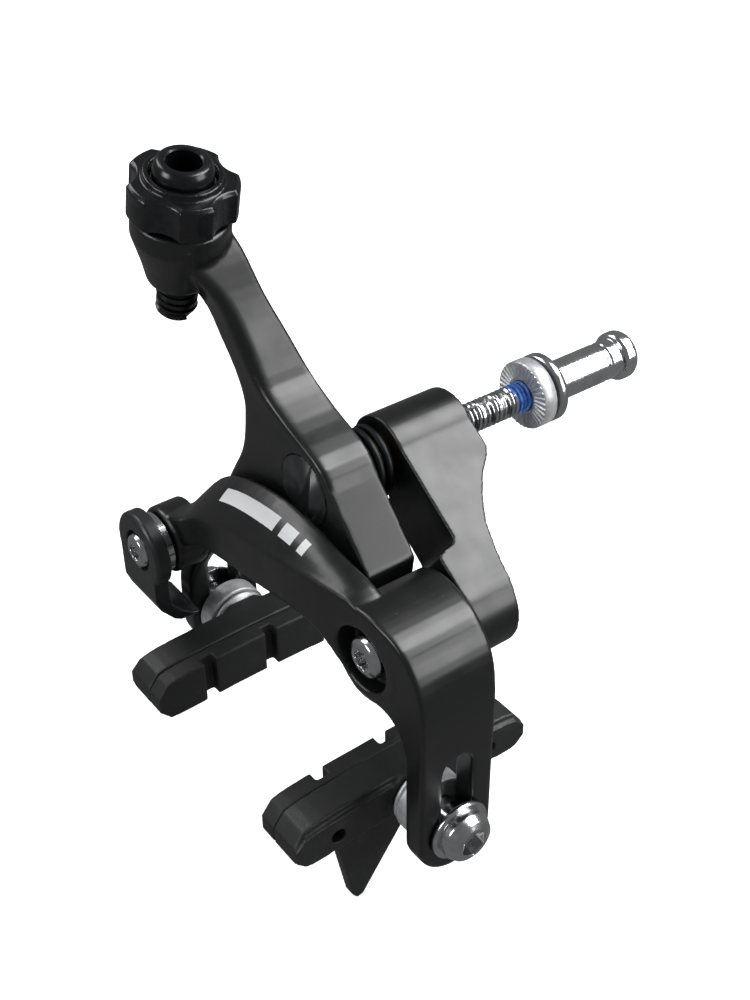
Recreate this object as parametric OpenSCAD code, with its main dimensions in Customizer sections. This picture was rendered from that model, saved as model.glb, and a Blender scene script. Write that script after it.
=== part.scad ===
// Dual-pivot rim brake caliper for a road bicycle, drawn fully open.
// Millimetres. Origin on the centre bolt axis at the bridge's rear face. X to the right seen
// from the front of the bicycle, Y rearwards, Z up.

/* [Centre bolt] */

// Centre bolt thread diameter
bolt_d = 6; // [5.6:0.1:6]
// How far the centre bolt reaches behind the bridge
bolt_reach = 35; // [30:1:38]
// Diameter of the two loose washers behind the bridge
washer_d = 13.6; // [12.5:0.1:14]

/* [Bridge] */

// Diameter of the boss that seats on the fork
boss_d = 16; // [15:0.1:16.4]
// Depth of the boss, front to back
boss_depth = 16; // [15:0.1:16.2]

/* [Arms] */

// Thickness of both legs where the shoes clamp
leg_thick = 4.7; // [4.2:0.1:4.8]
// Width of the slots that the shoe bolts slide in
slot_w = 6.6; // [6.5:0.1:7]
// Slot travel on the right leg
right_travel = 14.5; // [10:0.5:15]
// Slot travel on the left leg
left_travel = 12; // [8:0.5:12]
// Diameter of the recess round the side pivot head
recess_d = 12.6; // [12:0.1:13]

/* [Brake shoes] */

// Length of a brake shoe
shoe_len = 52.5; // [46:0.5:54]
// Height of a brake shoe
shoe_h = 10; // [9:0.1:10.4]
// Thickness of the rubber between braking face and holder
rubber_t = 4; // [3.5:0.1:4.6]

/* [Cable adjuster] */

// Lobes on the adjuster knob
knob_lobes = 5; // [4:1:8]
// Outer diameter of the adjuster knob over its lobes
knob_d = 19; // [17.5:0.1:19.6]
// Bore that takes the cable housing's end cap
housing_d = 6; // [5.2:0.1:6.2]

/* [Hidden] */

$fn = 96;

// side pivot axis, [x, z]
px = 25;
pz = -18;
// anchor eyelet axis, [x, z]
ex = -36.5;
ez = -28.5;
// adjuster: top of the barrel collar and the tilt of its axis
ax = -23.5;
ay = -37.1;
az = 54.1;
tilt = 14.5;
// legs and shoes
leg_in = 35.9;
leg_out = leg_in + leg_thick;
leg_y = -30;
leg_r = 8;
leg_z = -53;
bolt_z = -51.5;
shoe_y = -30.3;
shoe_z = -51.9;
face_x = 18;
back_x = 29.7;
seam_x = face_x + rubber_t;
arm_front = -32.5;
arm_rear = -22;
bolt_r = bolt_d / 2;

black = [0.05, 0.05, 0.055];
steel = [0.75, 0.75, 0.77];
zinc = [0.55, 0.55, 0.56];
rubber = [0.08, 0.08, 0.08];
bronze = [0.6, 0.45, 0.25];

// ---- helpers

// cylinder along Y from y0 to y1
module ycyl(r, y0, y1, x = 0, z = 0, r2 = -1) {
    translate([x, y0, z]) rotate([-90, 0, 0])
        cylinder(r1 = r, r2 = r2 < 0 ? r : r2, h = y1 - y0);
}

// cylinder along X from x0 to x1
module xcyl(r, x0, x1, y, z, r2 = -1) {
    translate([x0, y, z]) rotate([0, 90, 0])
        cylinder(r1 = r, r2 = r2 < 0 ? r : r2, h = x1 - x0);
}

// a 2D drawing in X and Z made solid from y0 to y1
module yslab(y0, y1) {
    translate([0, y1, 0]) rotate([90, 0, 0]) linear_extrude(y1 - y0) children();
}

// a 2D drawing in Y and Z made solid from x0 to x1
module xslab(x0, x1) {
    translate([x0, 0, 0]) rotate([90, 0, 90]) linear_extrude(x1 - x0) children();
}

// six-sided prism along Y, flat to flat distance af
module yhex(af, y0, y1, x = 0, z = 0) {
    translate([x, y0, z]) rotate([-90, 0, 0])
        cylinder(r = af / 2 / cos(30), h = y1 - y0, $fn = 6);
}

// six-lobed socket drawn in 2D: a core circle and six small lobes
module socket2d(r) {
    circle(r * 0.76);
    for (i = [0:5]) {
        rotate(i * 60) translate([r * 0.72, 0]) circle(r * 0.28);
    }
}

// local frame of the adjuster: Z runs up its axis, zero at the collar's top
module on_adjuster() {
    translate([ax, ay, az]) rotate([0, tilt, 0]) children();
}

// ring of revolution from a list of [r, z] points, about the local Z axis
module turned(points) {
    rotate_extrude() polygon(points);
}

// the same about Y through [x, z], points are [r, y]
module turned_y(points, x = 0, z = 0) {
    translate([x, 0, z]) rotate([-90, 0, 0]) rotate_extrude() polygon(points);
}

// the same about X through [y, z], points are [r, x]
module turned_x(points, y, z) {
    translate([0, y, z]) rotate([0, 90, 0]) rotate_extrude() polygon(points);
}

// ---- swept limbs: sections of rounded corners, splined along the limb

function unit(v) = v / max(norm(v), 0.0001);
function cubic(a, b, c, d, t) =
    0.5 * (2 * b + (c - a) * t + (2 * a - 5 * b + 4 * c - d) * t * t
    + (3 * b - a - 3 * c + d) * t * t * t);
function at(list, s) =
    let (n = len(list) - 1, i = min(floor(s), n - 1))
    cubic(list[max(i - 1, 0)], list[i], list[i + 1], list[min(i + 2, n)], s - i);
function xyz(p) = [p[0], p[1], p[2]];
// rounded outline of one section: each corner is [x, y, z, radius]
function ring(corners) =
    let (n = len(corners))
    [for (k = [0:n - 1])
        let (c = xyz(corners[k]), r = max(corners[k][3], 0.05),
             p = xyz(corners[(k + n - 1) % n]), q = xyz(corners[(k + 1) % n]),
             a = c + min(r, norm(p - c) * 0.45) * unit(p - c),
             b = c + min(r, norm(q - c) * 0.45) * unit(q - c))
        for (t = [0:0.25:1]) (1 - t) * (1 - t) * a + 2 * t * (1 - t) * c + t * t * b];
function middle(points) = [for (p = points) 1] * points / len(points);

module limb(stations, steps = 4) {
    n = (len(stations) - 1) * steps;
    rings = [for (j = [0:n]) ring(at(stations, j / steps))];
    m = len(rings[0]);
    points = concat([for (r = rings) for (p = r) p], [middle(rings[0]), middle(rings[n])]);
    sides = [for (j = [0:n - 1]) for (k = [0:m - 1])
        let (a = j * m + k, b = j * m + (k + 1) % m)
        each [[a, b, b + m], [a, b + m, a + m]]];
    first = [for (k = [0:m - 1]) [(n + 1) * m, (k + 1) % m, k]];
    last = [for (k = [0:m - 1]) [(n + 1) * m + 1, n * m + k, n * m + (k + 1) % m]];
    polyhedron(points = points, faces = concat(sides, first, last), convexity = 6);
}

// crown section: front outer edge f, front inner edge i and rear outer edge r, all [x, z]
function crown(f, i, r, yf, yr, bulge) = [
    [f[0], yf, f[1], 0.5],
    [(f[0] + r[0]) / 2, (yf + yr) / 2 - 0.67 * bulge, (f[1] + r[1]) / 2 + 0.74 * bulge, 3.4],
    [r[0], yr, r[1], 1.3],
    [i[0] + (r[0] - f[0]) * 0.6, yr, i[1] + 0.6, 1.4],
    [i[0], yf, i[1], 0.9]];

// four-cornered section from an outer and an inner edge, both [x, z]
function slab(o, i, yf, yr, rf = 0.8, rr = 1.2) = [
    [o[0], yf, o[1], rf], [o[0], yr, o[1], rr], [i[0], yr, i[1], rr], [i[0], yf, i[1], rf]];

// section through the round end of a leg, a degrees round the end
function leg_end(side, a) =
    slab([side * leg_out, leg_z - leg_r * sin(a)], [side * leg_in, leg_z - leg_r * sin(a)],
         leg_y - leg_r * cos(a), leg_y + leg_r * cos(a), 0.8, 0.9);

crown_path = [
    crown([-36.5, -22.3], [-35.0, -32.0], [-36.5, -22.0], -42.4, -36.2, 0.1),
    crown([-31.5, -20.7], [-31.3, -28.0], [-32.0, -18.6], -42.0, -36.0, 0.4),
    crown([-24.0, -15.9], [-24.0, -23.2], [-25.8, -10.6], -41.6, -33.6, 1.0),
    crown([-15.0, -12.7], [-15.0, -21.1], [-16.4, -5.6], -41.5, -33.5, 1.3),
    crown([-5.0, -10.5], [-5.0, -19.7], [-5.0, -3.1], -41.3, -33.5, 1.3),
    crown([5.0, -8.9], [5.0, -18.2], [5.2, -3.2], -41.0, -33.5, 1.2),
    crown([13.5, -7.8], [13.2, -18.6], [14.0, -4.9], -40.3, -33.5, 0.9),
    crown([21.0, -7.2], [19.5, -23.0], [22.0, -6.4], -39.3, -33.2, 0.4),
    crown([27.0, -8.4], [24.5, -25.6], [27.0, -9.0], -38.9, -33.0, 0.1)];

shoulder_path = [
    slab([20.8, -8.4], [19.8, -24.2], -38.4, -21.9, 0.6, 1.6),
    slab([24.5, -7.4], [23.2, -25.9], -39.0, -21.4, 0.6, 1.4),
    slab([29.5, -7.7], [28.4, -25.7], -38.8, -21.6, 0.6, 1.3),
    slab([35.0, -9.6], [32.6, -26.6], -38.5, -21.9, 0.6, 1.3),
    slab([39.2, -14.8], [35.2, -30.4], -38.2, -22.0, 0.6, 1.3),
    slab([leg_out, -23.0], [leg_in, -36.0], -38.0, -22.0, 0.7, 1.2),
    slab([leg_out, -38.0], [leg_in, -43.0], -38.0, -22.0, 0.7, 1.0),
    for (a = [0:15:75]) leg_end(1, a),
    leg_end(1, 84)];

// one limb from the adjuster boss round the hub and down the left leg
y_path = [
    slab([-31.0, 41.0], [-22.0, 41.8], -41.0, -31.0, 2.4, 0.7),
    slab([-31.0, 36.5], [-20.3, 37.2], -40.5, -29.0, 2.4, 0.7),
    slab([-26.6, 27.6], [-18.0, 28.9], -35.4, -26.6, 2.4, 0.7),
    slab([-23.8, 20.6], [-15.0, 21.6], -33.8, -24.2, 2.4, 0.7),
    slab([-21.0, 14.6], [-11.3, 14.8], -32.9, -22.3, 2.2, 0.7),
    slab([-19.2, 9.2], [-4.4, 10.8], arm_front, arm_rear, 1.8, 0.7),
    slab([-19.1, 5.4], [5.4, 6.8], arm_front, arm_rear, 1.4, 0.8),
    slab([-19.5, 2.0], [8.8, 0.0], arm_front, arm_rear, 1.2, 0.9),
    slab([-20.3, -1.0], [4.4, -7.4], arm_front, arm_rear, 1.2, 1.0),
    slab([-21.7, -4.0], [-5.6, -10.9], arm_front, arm_rear, 1.2, 1.1),
    slab([-23.7, -7.2], [-14.0, -15.0], arm_front, arm_rear, 1.2, 1.1),
    slab([-27.4, -13.2], [-20.8, -19.6], arm_front, arm_rear, 1.2, 1.2),
    slab([-31.4, -19.2], [-26.2, -23.4], arm_front, arm_rear, 1.2, 1.2),
    slab([-36.0, -25.0], [-31.2, -28.0], arm_front, arm_rear, 1.2, 1.2),
    slab([-39.6, -31.2], [-34.6, -33.6], arm_front - 0.1, arm_rear, 1.2, 1.2),
    slab([-leg_out, -37.6], [-leg_in, -38.6], -36.4, arm_rear, 1.0, 1.1),
    slab([-leg_out, -42.6], [-leg_in, -43.2], -38.0, arm_rear, 0.8, 1.0),
    for (a = [0:15:75]) leg_end(-1, a),
    leg_end(-1, 84)];

// slot through a leg, the shoe bolt sits at its lower end
module leg_slot(x0, x1, travel) {
    xcyl(slot_w / 2, x0, x1, leg_y, bolt_z);
    xcyl(slot_w / 2, x0, x1, leg_y, bolt_z + travel);
    translate([x0, leg_y - slot_w / 2, bolt_z]) cube([x1 - x0, slot_w, travel]);
}

// ---- bridge group, fixed to the fork

turn = atan2(-pz, px);
span = norm([px, pz]);

// the link between the two pivots, seen from the front
module link() {
    n = [sin(turn), cos(turn)];
    p = [px, pz];
    yslab(-21, 1)
        polygon([n * 7.7, p * 0.34 + n * 7.9, p * 0.66 + n * 8.1, p + n * 8.4,
                 p - n * 8.2, p * 0.66 - n * 6.8, p * 0.34 - n * 6.6, -n * 7.4]);
}

module rear_bridge() {
    color(black) difference() {
        intersection() {
            union() {
                ycyl(boss_d / 2, -22, 2);
                ycyl(8.6, -22, 2, px, pz);
                link();
            }
            rotate([0, turn, 0]) translate([0, 0, -15]) linear_extrude(30)
                polygon([[-9, -boss_depth], [20.0, -boss_depth], [20.9, -boss_depth - 0.5],
                         [21.8, -20.0], [22.4, -20.5], [span + 10, -20.5], [span + 10, -11.2],
                         [33, -10.8], [25, -9.6], [20, -8.4], [16, -6.4], [12, -3.7],
                         [9.4, -1.0], [7.8, 0], [-9, 0]]);
        }
        ycyl(bolt_r + 0.1, -21, 1);
        ycyl(3.05, -21, -10, px, pz);
        // pocket for the short end of the return spring, with room for it to swing
        rotate([0, turn, 0]) translate([-1.5, -boss_depth - 1, -9]) cube([8, 4.2, 4.6]);
    }
}

module centre_bolt() {
    color(steel) {
        ycyl(bolt_r, -31.2, bolt_reach);
        ycyl(bolt_r - 0.5, bolt_reach, bolt_reach + 0.8, r2 = bolt_r - 1.1);
        ycyl(bolt_r - 1.1, -31.7, -31.2, r2 = bolt_r - 0.3);
    }
}

module centre_nut() {
    color(steel) difference() {
        union() {
            yhex(10, -31.6, -29.4);
            ycyl(5.9, -29.4, -28.4);
        }
        ycyl(bolt_r + 0.05, -33, -28);
    }
}

module centre_spacer() {
    color(bronze) difference() {
        ycyl(4.6, -21.7, -boss_depth);
        ycyl(bolt_r + 0.1, -22, -15);
    }
}

module side_pivot_bolt() {
    color(steel) difference() {
        union() {
            turned_y([[0, -39.0], [2.6, -39.0], [3.6, -38.5], [4.1, -37.6], [4.1, -35.5],
                      [3.0, -35.5], [3.0, -12.4], [2.4, -11.8], [0, -11.8]], px, pz);
        }
        translate([px, 0, pz]) yslab(-39.5, -36.8) socket2d(2.1);
    }
}

module side_pivot_washer() {
    color(steel) difference() {
        ycyl(6.4, -21.0, -20.5, px, pz);
        ycyl(3.1, -21.5, -20, px, pz);
    }
}

// zinc-grey washer, its fine radial teeth are left out here
module serrated_washer() {
    color(zinc) difference() {
        turned_y([[0, 18.0], [washer_d / 2 - 0.2, 18.0], [washer_d / 2, 18.3],
                  [washer_d / 2, 20.8], [washer_d / 2 - 0.3, 21.1], [0, 21.1]]);
        ycyl(bolt_r + 0.15, 17, 22);
    }
}

module plain_washer() {
    color(steel) difference() {
        turned_y([[0, 21.9], [washer_d / 2 - 0.3, 21.9], [washer_d / 2, 22.2],
                  [washer_d / 2, 23.6], [washer_d / 2 - 0.3, 23.9], [0, 23.9]]);
        ycyl(bolt_r + 0.15, 21, 25);
    }
}

module sleeve_nut() {
    color(steel) difference() {
        turned_y([[0, 24.0], [3.6, 24.0], [3.95, 24.4], [3.95, 37.4], [3.7, 37.7], [3.7, 38.3],
                  [3.95, 38.6], [3.95, 40.9], [4.6, 41.2], [4.95, 41.8], [4.95, 43.6],
                  [4.5, 44.4], [0, 44.4]]);
        ycyl(bolt_r + 0.05, 23, bolt_reach + 2);
        yslab(39.0, 45) circle(2.6, $fn = 6);
    }
}

// ---- y_arm group, turns on the centre bolt

module y_arm() {
    color(black) difference() {
        union() {
            limb([for (k = [len(y_path) - 1:-1:0]) y_path[k]]);
            // end block that the centring screw bears under
            yslab(arm_front + 0.12, arm_rear - 0.1)
                polygon([[-2, 8.1], [2.6, 8.0], [5.4, 6.4], [18.1, -7.6], [18.4, -8.4],
                         [17.8, -12.3], [17.3, -13.2], [11.5, -13.2], [6.0, -9.6], [-2, -8.2]]);
            on_adjuster() turned([[0, -10.3], [8.2, -10.3], [8.6, -10.7], [8.6, -14.2],
                                  [8.3, -15.0], [6.6, -20.0], [5.6, -23.6], [5.2, -24.2],
                                  [0, -24.2]]);
        }
        // bush bore and the front pocket for the centre nut
        ycyl(4.2, -34, -20);
        ycyl(6.6, -34, -28);
        // barrel bore, the cup round the knob's hub and the relief below the boss
        on_adjuster() translate([0, 0, -26]) cylinder(r = 3.85, h = 18);
        on_adjuster() translate([0, 0, -12.4]) cylinder(r = 6.7, h = 3);
        on_adjuster() translate([0, 0, -37]) cylinder(r = 4.5, h = 12.8);
        leg_slot(-leg_out - 1, -leg_in + 1, left_travel);
    }
}

module centre_bush() {
    color(bronze) difference() {
        ycyl(4.15, -27.9, arm_rear);
        ycyl(bolt_r + 0.05, -29, -21);
    }
}

// plastic cap over the centre nut
module pivot_cap() {
    color(rubber) ycyl(6.55, arm_front, arm_front + 0.6);
}

// torsion spring round the spacer
wire_r = 0.8;
coil_r = 6.2;

module wire(points, r, sides = 10) {
    n = len(points) - 1;
    rings = [for (j = [0:n])
        let (d = unit(points[min(j + 1, n)] - points[max(j - 1, 0)]),
             u = unit(cross(d, abs(d[1]) > 0.8 ? [1, 0, 0] : [0, 1, 0])),
             v = cross(d, u))
        [for (k = [0:sides - 1])
            points[j] + r * (cos(k * 360 / sides) * u + sin(k * 360 / sides) * v)]];
    all = concat([for (q = rings) for (p = q) p], [points[0], points[n]]);
    walls = [for (j = [0:n - 1]) for (k = [0:sides - 1])
        let (a = j * sides + k, b = j * sides + (k + 1) % sides)
        each [[a, b + sides, b], [a, a + sides, b + sides]]];
    first = [for (k = [0:sides - 1]) [(n + 1) * sides, k, (k + 1) % sides]];
    last = [for (k = [0:sides - 1]) [(n + 1) * sides + 1, n * sides + (k + 1) % sides, n * sides + k]];
    polyhedron(points = all, faces = concat(walls, first, last), convexity = 6);
}

// a point s along the line between the pivots and n above it
function on_link(s, n, y) =
    [s * cos(turn) + n * sin(turn), y, n * cos(turn) - s * sin(turn)];

module return_spring() {
    // the long leg runs behind the left limb into the coil, the tail bends into the bridge
    long_leg = [[-27.2, -20.7, -16.6], [-20.0, -20.7, -12.6], [-12.0, -20.7, -8.8],
                [-6.0, -20.7, -6.9], [-2.4, -20.7, -6.4]];
    last = 90 - turn + 180 + 360;
    first = -90;
    coil = [for (k = [0:57])
        let (a = first + (last - first) * k / 57)
        [coil_r * cos(a), -20.7 + 3.6 * k / 57, coil_r * sin(a)]];
    tail = [on_link(1.6, -coil_r, -17.0), on_link(2.6, -coil_r, -16.7),
            on_link(3.1, -coil_r, -16.0), on_link(3.2, -coil_r, -15.2),
            on_link(3.2, -coil_r, -13.8)];
    color(steel) wire(concat(long_leg, coil, tail), wire_r);
}

module spring_seat() {
    color(rubber) difference() {
        yslab(-22, -18.6)
            polygon([[-31.0, -17.8], [-27.4, -12.6], [-24.2, -13.6], [-28.6, -20.4]]);
        // eye that the wire's end lies in
        translate([-27.2, -20.7, -16.6]) rotate([0, 60.9, 0]) translate([0, 0, -2])
            cylinder(r = wire_r + 0.15, h = 14);
    }
}

// ---- cable adjuster, its axis leans outwards at the bottom

module adjuster_knob() {
    kr = knob_d / 2;
    color(black) on_adjuster() difference() {
        union() {
            turned([[0, -10.0], [kr - 0.6, -10.0], [kr, -9.4], [kr, -3.9], [kr - 0.6, -3.3],
                    [6.9, -3.3], [6.6, -2.3], [0, -2.3]]);
            translate([0, 0, -11.9]) cylinder(r = 6.2, h = 3);
        }
        // finger scallops, flared at both ends
        for (i = [0:knob_lobes - 1])
            rotate(i * 360 / knob_lobes + 20) translate([kr + 3.5, 0, 0])
                turned([[0, -11.2], [6.0, -11.2], [6.0, -10.4], [5.0, -9.4], [5.0, -3.9],
                        [6.0, -2.9], [6.0, -2.0], [0, -2.0]]);
        translate([0, 0, -13]) cylinder(r = 3.82, h = 12);
        translate([0, 0, -4.3]) cylinder(r = 5.7, h = 3);
    }
}

module adjuster_barrel() {
    color(black) on_adjuster() difference() {
        turned([[0, 0], [4.2, 0], [4.5, -0.2], [5.15, -1.4], [5.15, -3.8], [3.75, -3.8],
                [3.75, -31.2], [3.3, -31.8], [0, -31.8]]);
        translate([0, 0, -12]) cylinder(r = housing_d / 2, h = 13);
        translate([0, 0, -33]) cylinder(r = 1.3, h = 34);
    }
}

// ---- c_arm group, turns on the side pivot

module c_arm() {
    color(black) difference() {
        union() {
            limb(crown_path);
            limb(shoulder_path);
            ycyl(8.6, -38.6, -21.3, px, pz);
            turned_y([[0, -43.0], [6.4, -43.0], [7.0, -42.4], [7.0, -36.4], [6.6, -36.0],
                      [0, -36.0]], ex, ez);
            // tongue that carries the centring screw
            yslab(-31.2, -22.8)
                polygon([[20, -24.0], [13.0, -22.6], [11.6, -21.2], [11.6, -18.6],
                         [12.4, -17.8], [20, -17.2]]);
        }
        ycyl(recess_d / 2, -45, -35.2, px, pz);
        ycyl(4.2, -36, -20, px, pz);
        ycyl(3.1, -44, -35, ex, ez);
        leg_slot(leg_in - 1, leg_out + 1, right_travel);
        translate([15, -27, -26]) cylinder(r = 2.05, h = 12);
    }
}

module side_bush() {
    color(bronze) difference() {
        ycyl(4.15, -35.2, -21.3, px, pz);
        ycyl(3.05, -36, -20, px, pz);
    }
}

module centring_screw() {
    color(steel) difference() {
        translate([15, -27, -23.6])
            turned([[0, 0], [1.7, 0], [2.0, 0.3], [2.0, 9.2], [1.5, 9.8], [0, 9.8]]);
        translate([15, -27, -24]) cylinder(r = 1.1, h = 2.4, $fn = 6);
    }
}

// ---- quick release and cable anchor on the end of the c_arm

module release_lever() {
    color(black) difference() {
        union() {
            turned_y([[0, -48.4], [7.4, -48.4], [8.0, -47.8], [8.0, -45.2], [0, -45.2]], ex, ez);
            // the plate below the disc and the tab that bends back from it
            intersection() {
                xslab(ex - 7.2, ex + 6.0)
                    polygon([[-48.4, ez], [-48.4, -38.4], [-47.4, -41.2], [-44.6, -44.6],
                             [-40.6, -47.0], [-38.7, -47.2], [-38.7, -45.4], [-40.4, -44.9],
                             [-43.0, -42.8], [-44.9, -40.2], [-45.3, -38.0], [-45.2, ez]]);
                yslab(-49, -38)
                    polygon([[-44.2, -28.5], [-43.7, -45.2], [-42.4, -47.2], [-33.0, -47.2],
                             [-31.2, -45.4], [-30.6, -28.5]]);
            }
        }
        ycyl(4.3, -49, -46.9, ex, ez);
        ycyl(3.1, -49, -45, ex, ez);
    }
}

module anchor_bolt() {
    color(steel) difference() {
        turned_y([[0, -49.2], [2.4, -49.2], [3.2, -48.8], [3.6, -48.1], [3.6, -46.9],
                  [3.05, -46.9], [3.05, -33.4], [2.7, -33.1], [0, -33.1]], ex, ez);
        translate([ex, 0, ez]) yslab(-50, -47.6) socket2d(1.9);
    }
}

module cable_clamp() {
    color(steel) difference() {
        union() {
            ycyl(6.2, -45.1, -43.4, ex, ez);
            translate([ex - 7.6, -45.1, ez - 2.2]) cube([4, 1.7, 4.4]);
        }
        ycyl(3.1, -46, -43, ex, ez);
    }
}

module anchor_nut() {
    color(steel) difference() {
        yhex(8, -35.6, -33.1, ex, ez);
        ycyl(3.1, -36, -33, ex, ez);
    }
}

// ---- brake shoes, drawn for the right side and mirrored for the left

// outline in Y and Z, its long edges follow the rim
function shoe_edge(h, side) = [for (i = [0:24])
    let (t = side > 0 ? i / 24 : 1 - i / 24, y = (t - 0.5) * shoe_len,
         c = 1 - pow(abs(2 * t - 1), 14))
    [shoe_y + y, shoe_z + 0.9 - y * y / 620 + side * (h / 2) * (0.35 + 0.65 * sqrt(max(c, 0)))]];

module shoe_outline(h) {
    polygon(concat(shoe_edge(h, 1), shoe_edge(h, -1)));
}

module holder(fin) {
    difference() {
        union() {
            xslab(seam_x, back_x - 1.2) shoe_outline(shoe_h);
            xslab(seam_x + 1, back_x - 0.3) shoe_outline(shoe_h - 2.4);
            turned_x([[0, back_x - 2], [7.0, back_x - 2], [6.2, back_x], [0, back_x]],
                     leg_y, bolt_z);
            if (fin) {
                xslab(24.6, 27.2)
                    polygon([[-47.0, -54.5], [-46.2, -59.0], [-43.4, -73.6], [-42.4, -75.0],
                             [-41.0, -74.8], [-29.4, -58.2], [-27.6, -54.5]]);
            }
        }
        xcyl(2.95, seam_x + 2, back_x + 1, leg_y, bolt_z);
        xcyl(1.5, back_x - 3, back_x + 1, -47.6, -52.0);
        xcyl(1.5, back_x - 3, back_x + 1, -12.8, -52.0);
        // keep the hump inside the shoe's height
        translate([seam_x - 1, shoe_y - 12, shoe_z + 0.9 + shoe_h / 2]) cube([12, 24, 6]);
        if (!fin) {
            translate([seam_x - 1, shoe_y - 12, shoe_z + 0.7 - shoe_h / 2 - 6]) cube([12, 24, 6]);
        }
    }
}

module pad() {
    difference() {
        xslab(face_x, seam_x) shoe_outline(shoe_h - 0.5);
        for (y = [-44.5, -30.3, -16.1]) {
            translate([face_x - 1, y - 1.3, -62]) cube([3.2, 2.6, 20]);
        }
    }
}

module shoe_bolt() {
    difference() {
        turned_x([[0, seam_x + 2.2], [2.9, seam_x + 2.2], [2.9, leg_out + 1.4],
                  [5.0, leg_out + 1.4], [5.0, leg_out + 2.9], [4.4, leg_out + 4.2],
                  [3.2, leg_out + 4.9], [0, leg_out + 4.9]], leg_y, bolt_z);
        translate([leg_out + 2.2, leg_y, bolt_z]) rotate([0, 90, 0])
            linear_extrude(4) circle(2.9, $fn = 6);
    }
}

module bolt_washer() {
    difference() {
        turned_x([[0, leg_out + 0.4], [6.1, leg_out + 0.4], [6.1, leg_out + 1.1],
                  [5.8, leg_out + 1.4], [0, leg_out + 1.4]], leg_y, bolt_z);
        xcyl(3.1, leg_out, leg_out + 2, leg_y, bolt_z);
    }
}

module domed_washer() {
    difference() {
        turned_x([[0, back_x], [5.2, back_x], [6.3, back_x + 0.7], [6.3, back_x + 1.2],
                  [4.4, back_x + 2.9], [0, back_x + 2.9]], leg_y, bolt_z);
        xcyl(3.1, back_x - 1, back_x + 4, leg_y, bolt_z);
    }
}

module cup_washer() {
    difference() {
        turned_x([[3.1, back_x + 3.1], [4.45, back_x + 3.1], [5.9, back_x + 1.8],
                  [6.7, back_x + 1.8], [6.7, leg_in - 0.4], [3.1, leg_in - 0.4]],
                 leg_y, bolt_z);
        xcyl(3.1, back_x - 1, leg_in + 4, leg_y, bolt_z);
    }
}

module left_side() {
    mirror([1, 0, 0]) children();
}

module left_holder() { color(rubber) left_side() holder(false); }
module left_rubber() { color(rubber) left_side() pad(); }
module left_bolt() { color(steel) left_side() shoe_bolt(); }
module left_bolt_washer() { color(steel) left_side() bolt_washer(); }
module left_domed_washer() { color(zinc) left_side() domed_washer(); }
module left_cup_washer() { color(zinc) left_side() cup_washer(); }
module right_holder() { color(rubber) holder(true); }
module right_rubber() { color(rubber) pad(); }
module right_bolt() { color(steel) shoe_bolt(); }
module right_bolt_washer() { color(steel) bolt_washer(); }
module right_domed_washer() { color(zinc) domed_washer(); }
module right_cup_washer() { color(zinc) cup_washer(); }

rear_bridge();
centre_bolt();
centre_nut();
centre_spacer();
side_pivot_bolt();
side_pivot_washer();
serrated_washer();
plain_washer();
sleeve_nut();
y_arm();
centre_bush();
return_spring();
pivot_cap();
spring_seat();
adjuster_knob();
adjuster_barrel();
c_arm();
side_bush();
centring_screw();
release_lever();
anchor_bolt();
cable_clamp();
anchor_nut();
left_holder();
left_rubber();
left_bolt();
left_bolt_washer();
left_domed_washer();
left_cup_washer();
right_holder();
right_rubber();
right_bolt();
right_bolt_washer();
right_domed_washer();
right_cup_washer();
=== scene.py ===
"""A dual-pivot rim brake caliper, dressed over its CAD frame.

Every length is in metres unless a name says millimetres, in the frame of the CAD: the origin on the
centre bolt at the bridge's rear face, X to the right seen from the front, Y rearwards, Z up.
"""

import logging
import math
from dataclasses import dataclass, field
from enum import Enum

import bmesh
import bpy
from mathutils import Matrix, Vector


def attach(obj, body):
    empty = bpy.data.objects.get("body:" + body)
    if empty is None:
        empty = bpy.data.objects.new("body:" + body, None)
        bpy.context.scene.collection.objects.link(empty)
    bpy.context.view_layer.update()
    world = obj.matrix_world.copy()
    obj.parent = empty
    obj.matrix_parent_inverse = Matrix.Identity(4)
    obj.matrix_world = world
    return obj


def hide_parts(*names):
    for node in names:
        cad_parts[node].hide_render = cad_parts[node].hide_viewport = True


log = logging.getLogger("caliper")
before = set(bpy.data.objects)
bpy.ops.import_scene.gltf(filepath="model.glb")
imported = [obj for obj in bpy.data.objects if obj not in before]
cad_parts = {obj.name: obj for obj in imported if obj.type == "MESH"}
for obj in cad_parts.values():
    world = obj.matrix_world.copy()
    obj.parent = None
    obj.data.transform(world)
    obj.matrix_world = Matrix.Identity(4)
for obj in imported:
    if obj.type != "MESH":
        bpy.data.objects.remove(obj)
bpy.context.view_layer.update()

MM = 0.001


# ---- small tools


def linear(hex_code: str) -> tuple[float, float, float, float]:
    """Turns an sRGB hex colour into linear RGBA.

    Args:
        hex_code: six hex digits, such as "1b1d1f".

    Returns:
        Four linear values, alpha last.
    """
    parts = [int(hex_code[i : i + 2], 16) / 255 for i in (0, 2, 4)]
    out = [v / 12.92 if v <= 0.04045 else ((v + 0.055) / 1.055) ** 2.4 for v in parts]
    return (out[0], out[1], out[2], 1.0)


def per_metre(size_mm: float) -> float:
    """The texture scale at which one cell of a pattern is size_mm wide.

    Args:
        size_mm: the cell's width on the object, in millimetres.

    Returns:
        The value for a texture node's Scale.
    """
    return 1000.0 / size_mm


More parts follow.
